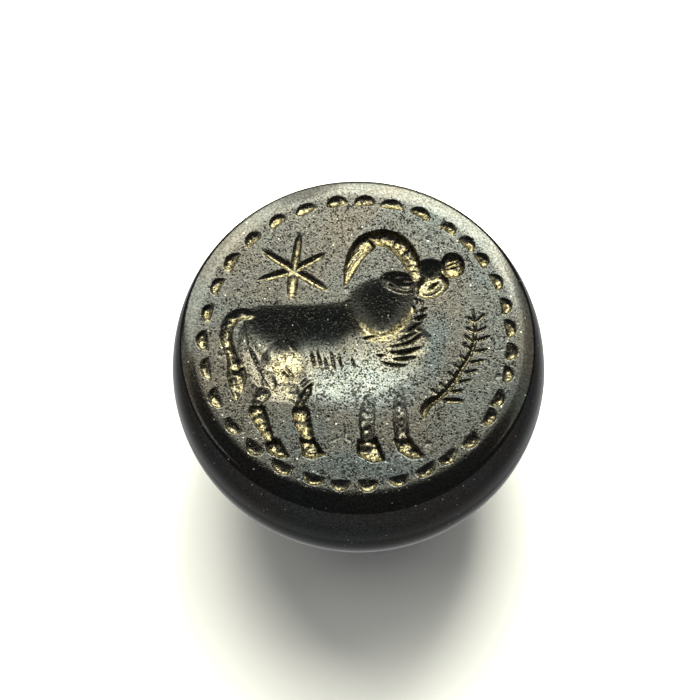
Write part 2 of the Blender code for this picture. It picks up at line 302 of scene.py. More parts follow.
def leave_ridge(cut):
    """Leave a little more stone standing inside a hollow."""
    depth_map[:] = np.maximum(depth_map - cut, 0)


print("the empty face has", len(depth_map), "points")

# %% [markdown]
# A bowl may have its deepest point off centre: then one wall is steep and the other a long slope.
# The steep side mirrors the dark room and looks black, and the long one catches the window.

# %% Bowls
def bowl(x, y, half_length, half_width, turn, depth, wall=0.5, deepest=(0, 0), roundness=2.0):
    """A drilled hollow. A small wall value gives a steep rim, a low roundness a pointed floor."""
    turn = math.radians(turn)
    along = ((px - x) * math.cos(turn) + (py - y) * math.sin(turn)) / half_length
    across = ((py - y) * math.cos(turn) - (px - x) * math.sin(turn)) / half_width
    off_along, off_across = along - deepest[0], across - deepest[1]
    size = np.maximum(off_along ** 2 + off_across ** 2, 1e-9)  # never quite zero
    lean = deepest[0] * off_along + deepest[1] * off_across
    room = 1 - deepest[0] ** 2 - deepest[1] ** 2
    to_rim = size / (np.sqrt(lean ** 2 + size * room) - lean)
    return depth * np.clip(1 - to_rim ** roundness, 0, 1) ** wall


print("a bowl 2 mm wide has", int((bowl(0, 0, 1, 1, 0, 0.5) > 0).sum()), "points")

# %% Grooves and strokes
def spread(values, count):
    """Values given at a few even places, spread over count places."""
    values = [values] if isinstance(values, (int, float)) else values
    return np.interp(np.linspace(0, 1, count), np.linspace(0, 1, len(values)), values)


def groove(points, half_width, depth, wall=0.5, lean=0.0, vee=False):
    """A wheel's groove along a path. A lean moves its deepest line to the left of the path."""
    widths = spread(half_width, len(points))
    depths = spread(depth, len(points))
    total = np.zeros_like(px)
    for number in range(len(points) - 1):
        x0, y0 = points[number]
        x1, y1 = points[number + 1]
        way_x, way_y = x1 - x0, y1 - y0
        share = ((px - x0) * way_x + (py - y0) * way_y) / (way_x ** 2 + way_y ** 2)
        share = np.clip(share, 0, 1)
        off = np.hypot(px - x0 - share * way_x, py - y0 - share * way_y)
        reach = off / (widths[number] + (widths[number + 1] - widths[number]) * share)
        if lean:
            side = np.sign(way_x * (py - y0) - way_y * (px - x0))
            offset = reach * side - lean
            leaning = np.abs(offset) / np.where(offset > 0, 1 - lean, 1 + lean)
            reach = np.where(reach < 1, leaning, 1)
        floor = depths[number] + (depths[number + 1] - depths[number]) * share
        section = 1 - reach if vee else np.clip(1 - reach ** 2, 0, 1) ** wall
        total = np.maximum(total, floor * np.clip(section, 0, 1))
    return total


TAPER = (0.12, 0.7, 1.0, 0.95, 0.6, 0.12)
BANK_CURVE = 0.7  # below 1 a straight bank bulges a little


def stroke(points, half_width, depth, taper=TAPER):
    """A V-shaped stroke that starts and ends in a point."""
    path = smooth_path(points)
    taper = spread(taper, len(path))
    return groove(path, half_width * taper, depth * taper, vee=True)


def wedge(corners, depth, steep, sloping):
    """A pit with straight sides: a hoof. The side towards the bottom of the picture slopes."""
    inside = np.full_like(px, np.inf)
    for number, (x0, y0) in enumerate(corners):
        x1, y1 = corners[(number + 1) % len(corners)]
        length = math.hypot(x1 - x0, y1 - y0)
        bank = steep + (sloping - steep) * max((x0 - x1) / length, 0)
        from_side = ((px - x0) * (y1 - y0) - (py - y0) * (x1 - x0)) / length
        inside = np.minimum(inside, from_side / bank)
    return depth * np.clip(inside, 0, 1) ** BANK_CURVE


print("a stroke 2 mm long has", int((stroke([(-1, 0), (1, 0)], 0.1, 0.1) > 0).sum()), "points")

# %% [markdown]
# A drill fed with grit never leaves a smooth floor, and the stone has tiny faults. A smooth random
# pattern roughens the floors of the cuts. It always starts from the same seed, so that each run
# gives the same seal.

# %% Rough floors
PATTERN_REACH = 12  # mm from the middle of the face to the side of the pattern
ROUGH_CUT = 0.15  # a cut this deep gets the full roughness


def mottle(size, seed):
    """A smooth random pattern between -1 and 1, with lumps of about this size in mm."""
    count = int(2 * PATTERN_REACH / size) + 3
    lattice = np.random.default_rng(seed).uniform(-1, 1, (count, count))
    place_x, place_y = (px + PATTERN_REACH) / size, (py + PATTERN_REACH) / size
    column, row = place_x.astype(int), place_y.astype(int)
    x_share, y_share = place_x - column, place_y - row
    x_share, y_share = x_share ** 2 * (3 - 2 * x_share), y_share ** 2 * (3 - 2 * y_share)
    lower = lattice[row, column] * (1 - x_share) + lattice[row, column + 1] * x_share
    upper = lattice[row + 1, column] * (1 - x_share) + lattice[row + 1, column + 1] * x_share
    return lower * (1 - y_share) + upper * y_share


coarse_lumps = mottle(size=0.42, seed=3)
fine_lumps = mottle(size=0.20, seed=4)
grit = mottle(size=0.11, seed=5)


def rough(cut, amount):
    """The same cut with an uneven floor."""
    lumps = amount * (coarse_lumps + 0.8 * fine_lumps)
    return np.maximum(cut + lumps * np.clip(cut / ROUGH_CUT, 0, 1), 0)


print("lumps from", round(float(coarse_lumps.min()), 2), "to", round(float(coarse_lumps.max()), 2))

# %% [markdown]
# ## The ram's body
# The back is a steep wall and the belly a long slope that fades into the face. Each row gives,
# at one place along the body, where the back, the deepest line and the belly are, and how deep.
# A painted height image could do this, but rows of numbers can be read off the photograph.
# Haunch, rump, neck, eye and chest are bowls. The legs are grooves with wedges for hooves.

# %% Cut the trunk
TRUNK_ROWS = (
    (-7.25, 1.85, 1.00, 0.30, 0.00),
    (-6.90, 2.20, 0.55, -0.90, 0.26),
    (-6.20, 2.38, 0.05, -2.10, 0.50),
    (-5.00, 2.45, -0.25, -3.30, 0.66),
    (-3.50, 2.45, -0.30, -3.90, 0.70),
    (-2.00, 2.52, -0.25, -4.40, 0.72),
    (-1.20, 2.60, -0.15, -4.60, 0.70),
    (-0.50, 2.75, 0.40, -4.80, 0.62),
    (0.30, 2.85, 0.55, -4.90, 0.56),
    (1.00, 2.90, 0.40, -4.90, 0.54),
    (2.20, 2.70, 0.35, -4.40, 0.45),
    (3.20, 2.30, 0.50, -3.40, 0.28),
    (4.30, 1.40, -0.20, -2.00, 0.00),
)
BACK_CURVE = 1.4
rows = np.array(smooth_path(TRUNK_ROWS))
back, deepest, belly, trunk_depth = (
    np.interp(px, rows[:, 0], rows[:, column]) for column in range(1, 5)
)
above = np.clip((back - py) / (back - deepest), 0, 1)
below = np.clip((py - belly) / (deepest - belly), 0, 1)
back_wall = np.sin(above * math.pi / 2) ** BACK_CURVE
belly_slope = (1 - np.cos(below * math.pi)) / 2
trunk = trunk_depth * np.where(py > deepest, back_wall, belly_slope)
trunk = trunk * ((px > TRUNK_ROWS[0][0]) & (px < TRUNK_ROWS[-1][0]))
engrave(np.maximum(trunk, 0), dirt=0.05)
print("deepest cut of the trunk:", round(float(trunk.max()), 2), "mm")

# %% Cut the haunch, the chest and the neck
THIGH = ((-7.00, 0.60), (-6.75, -0.60), (-6.20, -1.85), (-5.60, -2.95))
THIGH_WIDTHS = (0.50, 0.85, 0.85, 0.55)
THIGH_DEPTHS = (0.16, 0.26, 0.26, 0.20)
thigh = groove(smooth_path(THIGH), THIGH_WIDTHS, THIGH_DEPTHS, wall=0.9, lean=0.6)
engrave(thigh, dirt=0.05, softness=0.15)
incise(stroke([(-6.86, -0.30), (-6.50, -1.10), (-6.15, -1.90)], 0.13, 0.16))
haunch = bowl(-4.70, -1.70, 2.10, 1.50, 78, 0.16, wall=1.1, deepest=(0.0, 0.25))
incise(haunch * (1 + 0.20 * coarse_lumps))
soil(bowl(-4.55, -1.55, 1.75, 1.25, 78, 0.6, wall=1.2))
rump = bowl(-6.60, 0.50, 0.70, 0.50, 20, 0.24, wall=1.0)
engrave(rump, dirt=0.10, softness=0.20)
neck = bowl(1.50, 2.25, 2.35, 2.08, 12, 0.88, 1.45, deepest=(-0.12, -0.66), roundness=1.7)
engrave(neck, dirt=0.03, softness=0.20)
eye = bowl(2.75, 3.98, 1.30, 0.70, -14, 0.52, 1.0, deepest=(0.1, -0.4), roundness=1.6)
engrave(eye, dirt=0.10, softness=0.35)
chest = bowl(2.85, -0.35, 1.90, 1.20, 12, 0.20, wall=1.0, deepest=(0.0, 0.45))
engrave(chest, dirt=0.22, softness=0.12)
# A band of earth on the neck's lower wall looks like a collar.
COLLAR = (
    (-0.73, 2.37), (-0.28, 1.62), (0.47, 0.87), (1.30, 0.46),
    (2.18, 0.59), (2.88, 1.21), (3.44, 2.03),
)
COLLAR_WIDTHS = (0.15, 0.42, 0.52, 0.46, 0.25)
soil(groove(smooth_path(COLLAR), COLLAR_WIDTHS, 0.95))
hind_belly = bowl(-4.60, -3.45, 1.50, 0.75, 0, 0.16, wall=1.0, deepest=(0.0, 0.55))
engrave(hind_belly, dirt=0.10, softness=0.15)
print("deepest cut so far:", round(float(depth_map.max()), 2), "mm")

# %% Cut the legs
# Each row: name, path, half widths, depths, then the lean, the dirt and the wall.
LEG_GROOVES = (
    ("left hock", ((-5.20, -3.20), (-5.85, -3.60), (-6.30, -4.20)),
     (0.55, 0.50, 0.34), (0.16, 0.22, 0.18), 0.0, 0.2, 1.1),
    ("left shin", ((-6.28, -4.85), (-6.00, -5.50), (-5.55, -6.50)),
     (0.54, 0.48, 0.28), (0.34, 0.32, 0.26), 0.3, 0.9, 0.7),
    ("right thigh", ((-4.30, -3.00), (-3.75, -3.90)),
     (0.75, 0.50), (0.18, 0.20), 0.0, 0.2, 1.1),
    ("right hock", ((-2.90, -2.75), (-3.15, -3.45), (-3.60, -4.20)),
     (0.20, 0.32, 0.34), (0.12, 0.24, 0.24), 0.0, 0.2, 1.0),
    ("right shin", ((-3.55, -4.95), (-3.42, -5.50), (-3.15, -6.40)),
     (0.56, 0.52, 0.40), (0.36, 0.34, 0.28), 0.3, 0.9, 0.7),
    ("near foreleg", ((0.74, -2.60), (0.68, -4.10), (0.60, -5.40), (0.62, -6.60)),
     (0.12, 0.44, 0.54, 0.46), (0.02, 0.10, 0.15, 0.20), 0.0, 0.12, 1.0),
    ("far foreleg", ((2.61, -2.30), (2.62, -4.10), (2.68, -5.40), (2.78, -6.50)),
     (0.12, 0.40, 0.52, 0.46), (0.02, 0.10, 0.15, 0.20), 0.0, 0.08, 1.0),
)
for name, path, half_widths, depths, lean, dirt, wall in LEG_GROOVES:
    leg = rough(groove(smooth_path(path), half_widths, depths, wall, lean), amount=0.05)
    engrave(leg, dirt)
    print(name, "cut", round(float(leg.max()), 2), "mm deep")
HOOVES = (
    ((-5.76, -6.93), (-5.33, -6.53), (-4.83, -6.73),
     (-4.20, -7.86), (-4.94, -7.92), (-5.63, -7.53)),
    ((-3.65, -6.60), (-2.77, -6.47), (-2.02, -7.73), (-2.77, -7.99), (-3.39, -7.79)),
    ((-0.03, -6.73), (1.15, -6.47), (1.77, -8.12), (0.84, -8.19), (-0.03, -7.73)),
    ((2.21, -6.60), (3.21, -6.53), (4.20, -7.86), (3.39, -7.99), (2.58, -7.53)),
)
for corners in HOOVES:
    hoof = wedge(corners, depth=0.38, steep=0.18, sloping=0.34)
    engrave(rough(hoof, amount=0.08), dirt=0.75)
print(len(HOOVES), "hooves cut")

# %% Cut the tail
TAIL = ((-6.30, 1.45), (-7.10, 1.76), (-7.80, 1.58), (-8.22, 0.95), (-8.30, 0.10), (-8.00, -0.85))
TAIL_WIDTHS = (0.24, 0.42, 0.42, 0.40, 0.34)
TAIL_DEPTHS = (0.14, 0.24, 0.25, 0.24, 0.22)
TUFT = ((-7.95, -0.90), (-7.68, -1.60), (-7.57, -2.40), (-7.57, -3.20), (-7.60, -4.00))
TUFT_WIDTHS = (0.30, 0.52, 0.62, 0.46, 0.06)
TUFT_DEPTHS = (0.22, 0.26, 0.28, 0.22, 0.04)
tail = groove(smooth_path(TAIL), TAIL_WIDTHS, TAIL_DEPTHS, wall=0.9)
tuft = groove(smooth_path(TUFT), TUFT_WIDTHS, TUFT_DEPTHS, wall=0.8)
engrave(rough(tail, amount=0.05), dirt=0.60)
engrave(rough(tuft, amount=0.09), dirt=0.60)
print("tail cut", round(float(tail.max()), 2), "mm deep, tuft", round(float(tuft.max()), 2))

# %% [markdown]
# ## The head
# The horn is a crescent in two parts. The tip is a leaf that flares and shows the strokes of the
# wheel, and the main band starts at a crest and thickens towards the forehead. Cheek, muzzle and
# ear are one touch of the drill each, as on the real seal.

# %% Cut the horn
HORN_TIP = ((-0.78, 3.72), (-0.48, 4.80), (-0.10, 5.85), (0.45, 6.60), (0.95, 6.95))
TIP_WIDTHS = (0.05, 0.36, 0.52, 0.62, 0.56)
TIP_DEPTHS = (0.05, 0.26, 0.40, 0.50, 0.50)
HORN_BAND = ((1.10, 7.00), (1.80, 7.08), (2.50, 6.74), (3.15, 5.98), (3.55, 5.20), (3.72, 4.45))
BAND_WIDTHS = (0.50, 0.60, 0.64, 0.60, 0.50, 0.34)
BAND_DEPTHS = (0.42, 0.55, 0.60, 0.56, 0.48, 0.34)
engrave(groove(smooth_path(HORN_TIP), TIP_WIDTHS, TIP_DEPTHS, lean=0.45), dirt=0.85)
horn_band = groove(smooth_path(HORN_BAND), BAND_WIDTHS, BAND_DEPTHS, lean=0.4)
engrave(rough(horn_band, amount=0.06), dirt=0.95)
leave_ridge(stroke([(0.78, 7.16), (1.04, 6.80), (1.36, 6.36)], 0.16, 0.30, taper=(0.6, 1, 1)))
HATCH_WIDTH = 0.09
HORN_HATCH = (
    ((2.40, 7.02), (2.20, 6.30)), ((2.80, 6.76), (2.42, 6.08)), ((3.12, 6.34), (2.64, 5.76)),
    ((3.42, 5.86), (2.88, 5.42)), ((3.62, 5.38), (3.06, 5.08)), ((3.76, 4.92), (3.26, 4.74)),
)
for start, end in HORN_HATCH:
    middle = ((start[0] + end[0]) / 2 + 0.05, (start[1] + end[1]) / 2)
    incise(stroke([start, middle, end], HATCH_WIDTH, 0.12))
TIP_HATCH = (
    ((-0.60, 4.20), (0.95, 6.42)), ((-0.72, 4.60), (0.60, 6.45)), ((-0.70, 5.10), (0.30, 6.50)),
)
for start, end in TIP_HATCH:
    middle = ((start[0] + end[0]) / 2 - 0.12, (start[1] + end[1]) / 2 + 0.10)
    incise(stroke([start, middle, end], HATCH_WIDTH, 0.09), dirt=0.3)
print("horn cut", round(float(horn_band.max()), 2), "mm deep, with", len(HORN_HATCH), "bars")

# %% Cut the head
cheek = bowl(4.60, 4.86, 1.04, 0.70, 4, 0.62, 0.8, deepest=(0.0, -0.6), roundness=1.4)
engrave(cheek, dirt=0.05)
muzzle = bowl(6.08, 5.13, 0.74, 0.88, 0, 0.50, deepest=(0.0, 0.25))
engrave(rough(muzzle, amount=0.04), dirt=0.95)
ear = bowl(4.76, 3.72, 1.10, 0.78, 30, 0.46, wall=0.4, deepest=(0.0, 0.15))
engrave(ear, dirt=0.95)
leave_ridge(bowl(4.72, 3.76, 0.80, 0.50, 34, 0.15, wall=0.6))
incise(stroke([(4.50, 3.50), (4.85, 3.84), (5.22, 4.12)], 0.13, 0.22), dirt=0.3)
FACE_STROKES = (
    ((5.66, 5.30), (6.05, 5.50), (6.40, 5.62)),
    ((5.62, 5.05), (6.10, 5.22), (6.52, 5.34)),
    ((2.26, 4.30), (2.62, 4.32), (2.96, 4.27)),
    ((2.71, 4.10), (3.15, 4.06), (3.60, 4.05)),
    ((1.88, 4.05), (2.25, 3.86), (2.62, 3.70)),
    ((2.75, 3.82), (3.10, 3.72), (3.40, 3.74)),
)
for path in FACE_STROKES:
    leave_ridge(stroke(path, 0.09, 0.12))
print("head cut, with", len(FACE_STROKES), "thin ridges left in its hollows")

# %% [markdown]
# ## The strokes
# Fine V-shaped strokes give the mane, the ribs and the hair. They are cut last, on top of the
# hollows, as the engraver did.

# %% Cut the strokes
# Each lock has a path and a half width.
MANE_LOCKS = (
    (((3.94, 1.87), (4.44, 2.22)), 0.13),
    (((3.59, 1.42), (3.99, 1.50), (4.39, 1.73)), 0.19),
    (((3.11, 0.54), (3.53, 0.88), (4.17, 1.27)), 0.14),
    (((3.69, 0.79), (4.11, 0.62)), 0.10),
    (((2.53, 0.02), (3.11, 0.33), (3.84, 0.62)), 0.13),
    (((1.89, -0.35), (2.68, -0.21), (3.42, -0.03), (3.95, 0.33), (4.20, 0.22)), 0.13),
    (((1.99, -0.66), (2.73, -0.74), (3.42, -0.63), (4.10, -0.40)), 0.20),
    (((1.15, -0.86), (1.73, -0.91)), 0.10),
    (((2.21, -1.16), (2.94, -1.20), (3.78, -1.12)), 0.16),
    (((1.37, -1.29), (2.00, -1.54), (2.57, -1.65), (3.25, -1.65)), 0.15),
    (((0.28, 0.27), (0.90, 0.42), (1.61, 0.61)), 0.12),
)
LOCK_STEEPNESS = 1.5
for path, half_width in MANE_LOCKS:
    incise(stroke(path, half_width, LOCK_STEEPNESS * half_width), dirt=0.35)
# The ribs, then the hair of the haunch, the hocks and the throat.
THIN_STROKES = (
    ((-2.98, -0.40), (-2.80, -1.10), (-2.68, -1.85)),
    ((-2.56, -0.45), (-2.38, -1.15), (-2.28, -1.80)),
    ((-2.10, -0.85), (-1.96, -1.50), (-1.82, -2.10)),
    ((-1.68, -0.40), (-1.56, -1.20), (-1.36, -1.95)),
    ((-1.22, -0.60), (-1.12, -1.20), (-0.96, -1.80)),
    ((-0.40, -0.95), (-0.28, -1.40), (-0.14, -1.85)),
    ((-4.33, 0.15), (-4.10, -0.26), (-3.82, -0.64)),
    ((-4.63, -1.57), (-4.25, -2.05), (-3.86, -2.52)),
    ((-4.86, -1.72), (-4.48, -2.20), (-4.10, -2.66)),
    ((-3.67, -3.06), (-3.40, -2.70), (-3.11, -2.38)),
    ((-3.55, -3.26), (-3.22, -2.88), (-2.86, -2.52)),
    ((-3.32, -3.40), (-3.00, -3.05), (-2.66, -2.72)),
    ((3.60, 2.92), (3.76, 2.66), (3.72, 2.36)),
    ((3.90, 2.80), (4.12, 2.58), (4.10, 2.30)),
    ((3.46, 2.50), (3.56, 2.20), (3.50, 1.92)),
)
for path in THIN_STROKES:
    incise(stroke(path, 0.085, 0.17), dirt=0.2)
SCRATCHES = (
    ((-1.96, -6.93), (-1.46, -6.73), (-0.90, -6.47)),
    ((-0.90, -6.47), (-0.60, -6.68), (-0.28, -6.93)),
    ((-0.36, -8.25), (-0.34, -8.80), (-0.36, -9.35)),
    ((1.15, -8.75), (1.17, -9.10), (1.16, -9.50)),
)
for path in SCRATCHES:
    incise(stroke(path, 0.07, 0.03))
print(len(MANE_LOCKS), "locks of the mane and", len(THIN_STROKES), "thin strokes cut")

# %% [markdown]
# ## Star, branch and border
# Six leaf-shaped cuts meet in the star. The branch is a bent stem with a leaf at each side of each
# joint. The border's notches are D-shaped. They were set by eye, so no two gaps are the same, and
# each one's place is given as an angle clockwise from the top.

# %% Cut the star
STAR_CENTRE = (-4.05, 4.81)
# The place of each ray's tip, and its half width.
STAR_TIPS = (
    (-3.69, 7.46, 0.25), (-2.01, 5.99, 0.24), (-1.88, 3.39, 0.25),
    (-4.22, 2.80, 0.33), (-6.34, 4.12, 0.26), (-6.14, 6.24, 0.23),
)
RAY_PLACES = (-0.08, 0.25, 0.55, 0.8, 1.0)
RAY_DEPTHS = (0.20, 0.23, 0.21, 0.16, 0.03)
for tip_x, tip_y, half_width in STAR_TIPS:
    way_x, way_y = tip_x - STAR_CENTRE[0], tip_y - STAR_CENTRE[1]
    path = [(STAR_CENTRE[0] + way_x * at, STAR_CENTRE[1] + way_y * at) for at in RAY_PLACES]
    ray_widths = (0.14, half_width, half_width, 0.8 * half_width, 0.03)
    engrave(groove(path, ray_widths, RAY_DEPTHS, wall=0.7), dirt=0.95, softness=0.02)
print(len(STAR_TIPS), "rays cut")

# %% Cut the branch
STEM = ((7.30, 2.10), (7.42, 1.40), (7.44, 0.60), (7.36, -0.20), (7.09, -1.03), (6.64, -1.77),
        (6.18, -2.60), (5.74, -3.20), (5.10, -3.86), (4.42, -4.35), (4.16, -4.80), (4.20, -5.30))
RIGHT_LEAVES = (
    ((7.48, 1.20), (8.11, 1.84)), ((7.46, 0.52), (8.19, 0.92)), ((7.42, -0.06), (8.44, 0.33)),
    ((7.28, -0.80), (8.23, -0.62)), ((6.98, -1.52), (8.01, -1.35)), ((6.60, -2.20), (7.58, -2.04)),
    ((6.12, -2.86), (7.19, -2.69)), ((5.62, -3.52), (6.68, -3.39)), ((5.10, -4.02), (6.61, -4.13)),
)
LEFT_LEAVES = (
    ((7.40, 1.20), (6.98, 1.62)), ((7.40, 0.52), (6.84, 0.90)), ((7.32, -0.20), (6.71, 0.42)),
    ((7.20, -0.75), (6.66, -0.20)), ((6.90, -1.45), (6.43, -1.00)), ((6.48, -2.05), (6.02, -1.55)),
    ((6.08, -2.60), (5.70, -2.12)), ((5.52, -3.30), (5.15, -2.85)), ((5.05, -3.75), (4.62, -3.28)),
)
STEM_WIDTHS = (0.06, 0.10, 0.13, 0.15, 0.18, 0.20, 0.22, 0.22, 0.24, 0.30, 0.28, 0.06)
STEM_DEPTHS = (0.08, 0.14, 0.17, 0.18, 0.20, 0.22, 0.22, 0.22, 0.26, 0.34, 0.28, 0.06)
LEAF_TAPER = (0.4, 0.8, 1, 0.9, 0.1)
stem = groove(smooth_path(STEM), STEM_WIDTHS, STEM_DEPTHS, vee=True)
engrave(stem, dirt=0.60, softness=0.02)
for leaves, half_width in ((RIGHT_LEAVES, 0.13), (LEFT_LEAVES, 0.11)):
    for root, tip in leaves:
        middle = ((root[0] + tip[0]) / 2, (root[1] + tip[1]) / 2 - 0.04)
        leaf = stroke([root, middle, tip], half_width, 0.14, LEAF_TAPER)
        engrave(leaf, dirt=0.60, softness=0.02)
engrave(bowl(5.95, -4.10, 0.66, 0.19, -3, 0.20), dirt=0.6)
print(len(RIGHT_LEAVES) + len(LEFT_LEAVES), "leaves cut")

# %% Cut the border
NOTCH_ANGLES = (
    3.0, 13.5, 24.8, 37.1, 46.4, 54.9, 65.5, 75.7, 85.3, 94.4, 104.0,
    114.1, 122.4, 133.9, 144.3, 154.0, 164.6, 176.1, 186.5, 196.5, 209.0, 221.7,
    233.4, 246.0, 258.5, 270.1, 281.3, 292.6, 304.1, 316.3, 328.2, 340.0, 352.2,
)
BORDER_RADIUS = 9.78
NOTCH_HALF_WIDTH = 0.71
NOTCH_REACH = 0.68
NOTCH_DEPTH = 0.34
CHORD_BANK = 0.50
TWIST = 7  # degrees that a notch may be turned by
RIGHT_SIDE = (30, 130)  # the notches between these angles are narrower
chance = np.random.default_rng(11)
for angle in NOTCH_ANGLES:
    turn = math.radians(angle)
    out_x, out_y = math.sin(turn), math.cos(turn)
    twist = math.radians(chance.uniform(-TWIST, TWIST))
    side_x, side_y = math.cos(turn + twist), -math.sin(turn + twist)
    wide = NOTCH_HALF_WIDTH * chance.uniform(0.88, 1.08)
    if RIGHT_SIDE[0] < angle < RIGHT_SIDE[1]:
        wide *= 0.88
    high = NOTCH_REACH * chance.uniform(0.90, 1.10)
    chord_radius = BORDER_RADIUS - NOTCH_REACH / 2 + chance.uniform(-0.05, 0.05)
    from_chord_x, from_chord_y = px - out_x * chord_radius, py - out_y * chord_radius
    sideways = from_chord_x * side_x + from_chord_y * side_y
    outward = from_chord_y * side_x - from_chord_x * side_y
    inside = np.clip(1 - (sideways / wide) ** 2 - (outward / high) ** 2, 0, 1)
    notch = NOTCH_DEPTH * inside ** 0.5 * np.clip(outward / CHORD_BANK, 0, 1) ** BANK_CURVE
    engrave(rough(notch, amount=0.05), dirt=0.85)
print(len(NOTCH_ANGLES), "notches cut")

# %% [markdown]
# ## Wear
# The face isn't a perfect plane any more. Small pits are scattered all over it. Where the drill
# roughened the stone, on the belly, the haunch and the forelegs, the attribute "stipple" gives it
# a fine grit, and the attribute "film" marks where the stone has a bluish sheen. The material
# uses both again, and where "stipple" is set it also raises the stone's colour: a painted
# highlight.

# %% Pit and roughen the face
PIT_COUNT = 260
PIT_REACH = 10.6  # mm from the middle
BIG_PIT_CHANCE = 0.07  # one pit in fourteen is twice as large
PIT_STEEPNESS = 0.24
GRIT_DEPTH = 0.004
GRIT_BASE = 1.2  # keeps most of the grit above zero, so that it isn't cut flat
pits_map = np.zeros_like(px)
for number in range(PIT_COUNT):
    reach = PIT_REACH * math.sqrt(chance.random())
    turn = chance.uniform(0, 2 * math.pi)
    size = chance.uniform(0.06, 0.11) * (1 + (chance.random() > 1 - BIG_PIT_CHANCE))
    off_x, off_y = px - reach * math.cos(turn), py - reach * math.sin(turn)
    near = np.clip(1 - (off_x ** 2 + off_y ** 2) / size ** 2, 0, 1)
    pits_map = np.maximum(pits_map, PIT_STEEPNESS * size * near)
# These zones get a fine grit in the mesh, and the material also paints a highlight on them.
stipple_and_highlight = np.maximum.reduce([
    bowl(0.60, -2.75, 4.90, 2.90, 0, 1.05, wall=0.9),  # the belly
    bowl(-4.60, -1.70, 2.00, 1.60, 78, 0.9, wall=0.7),  # the haunch
    bowl(3.00, -0.30, 1.90, 1.40, 0, 0.5, wall=0.7),  # the chest
    groove([(0.74, -2.60), (0.62, -6.60)], 0.62, 1.0, wall=0.7),  # the near foreleg
    groove([(2.61, -2.30), (2.78, -6.50)], 0.55, 1.0, wall=0.7),  # the far foreleg
    groove([(-5.90, -3.00), (-7.10, 0.80)], 0.70, 0.65, wall=0.7),  # the thigh
    bowl(-0.70, -7.40, 5.60, 0.90, 0, 0.35),  # the ground at the hooves
])
blue_film = np.maximum.reduce([
    bowl(4.95, -0.40, 2.60, 0.95, 80, 1.0, wall=0.8),  # in front of the chest
    bowl(0.40, -8.40, 5.00, 1.10, 4, 0.9, wall=0.8),  # below the hooves
    bowl(0.80, -2.90, 4.60, 2.40, 0, 1.0, wall=0.8),  # the belly
])
depth_map += pits_map + GRIT_DEPTH * stipple_and_highlight * (grit + fine_lumps + GRIT_BASE)
print(PIT_COUNT, "pits; deepest point", round(float(depth_map.max()), 2), "mm")

# %% [markdown]
# ## Lay the cuts into the face
# The corners of the fine disc are moved down by the depth of the cuts. Each corner also keeps four
# numbers for the material, as attributes: one for the ochre earth that sits in the cuts, "polish"
# for the worn edge, and "stipple" and "film" from the step before. The earth is then thinned by
# the normals, so it stays mostly on the walls that face the top of the picture, which face the
# windows: there the pale earth is a painted highlight as well as earth.

# %% Move the face down
POLISH_START = 10.0
POLISH_WIDTH = 0.6
EARTH_AND_HIGHLIGHT_ON_LEVEL = 0.45
EARTH_TOWARDS_LIGHT_BY_TILT = 2.4
LEAST_EARTH_IN_SHADE = 0.10
FACE_LAYERS = ("earth_and_highlight", "polish", "stipple_and_highlight", "film")

face_radius = np.hypot(px, py)
face_height = FACE_Z - edge_drop(face_radius * MM) - np.maximum(depth_map, 0) * MM
face_points = np.column_stack([px * MM, py * MM, face_height])
face_disc.data.vertices.foreach_set("co", face_points.ravel())
face_disc.data.update()
normals = np.empty(len(px) * 3)
face_disc.data.vertex_normals.foreach_get("vector", normals)
# Walls that face the windows keep their earth and walls in shade lose it, so the pale earth there
# is also a painted highlight.
earth_and_highlight *= np.clip(EARTH_AND_HIGHLIGHT_ON_LEVEL + EARTH_TOWARDS_LIGHT_BY_TILT * normals[1::3], LEAST_EARTH_IN_SHADE, 1)
polished_edge = np.clip((face_radius - POLISH_START) / POLISH_WIDTH, 0, 1)
for piece, values in (
    (face_disc, (earth_and_highlight, polished_edge, stipple_and_highlight, blue_film)),
    (seal, (0, 1, 0, 0)),
):
    for title, value in zip(FACE_LAYERS, values):
        layer = piece.data.attributes.new(title, "FLOAT", "POINT")
        layer.data.foreach_set("value", np.zeros(len(piece.data.vertices)) + value)
print("share of the face with earth:", round(float((earth_and_highlight > 0.3).mean()), 3))

# %% [markdown]
# The disc becomes part of the dome: the dome's flat lid is deleted, both meshes are joined, and
# the two open rims are bridged. The result is one closed mesh.


# %% Pick faces by their place
def select_faces(piece, wanted):
    """In edit mode, select just the faces for which wanted(face) is true."""
    bpy.ops.mesh.select_mode(type="FACE")
    bpy.ops.mesh.select_all(action="DESELECT")
    mesh = bmesh.from_edit_mesh(piece.data)
    for face in mesh.faces:
        face.select_set(wanted(face))
    bmesh.update_edit_mesh(piece.data)


# %% Bridge the face to the dome
make_active(seal)
bpy.ops.object.mode_set(mode="EDIT")
select_faces(seal, lambda face: len(face.verts) > 4 and face.calc_center_median().z > EQUATOR_Z)
bpy.ops.mesh.delete(type="ONLY_FACE")
bpy.ops.object.mode_set(mode="OBJECT")
deselect()
face_disc.select_set(True)
seal.select_set(True)
bpy.context.view_layer.objects.active = seal
bpy.ops.object.join()
bpy.ops.object.mode_set(mode="EDIT")
select_edges(seal, lambda edge: len(edge.link_faces) < 2)
bpy.ops.mesh.bridge_edge_loops()
bpy.ops.mesh.select_all(action="SELECT")
bpy.ops.mesh.normals_make_consistent(inside=False)
bpy.ops.object.mode_set(mode="OBJECT")
print("points of the whole seal:", len(seal.data.vertices))

# %% [markdown]
# ## Made by eye
# No lathe was used, so the dome leans a little and its front shoulder is fuller than the back.
# Both are small moves of the corners in code, as proportional editing would do by hand, because
# code gives the same seal each time.

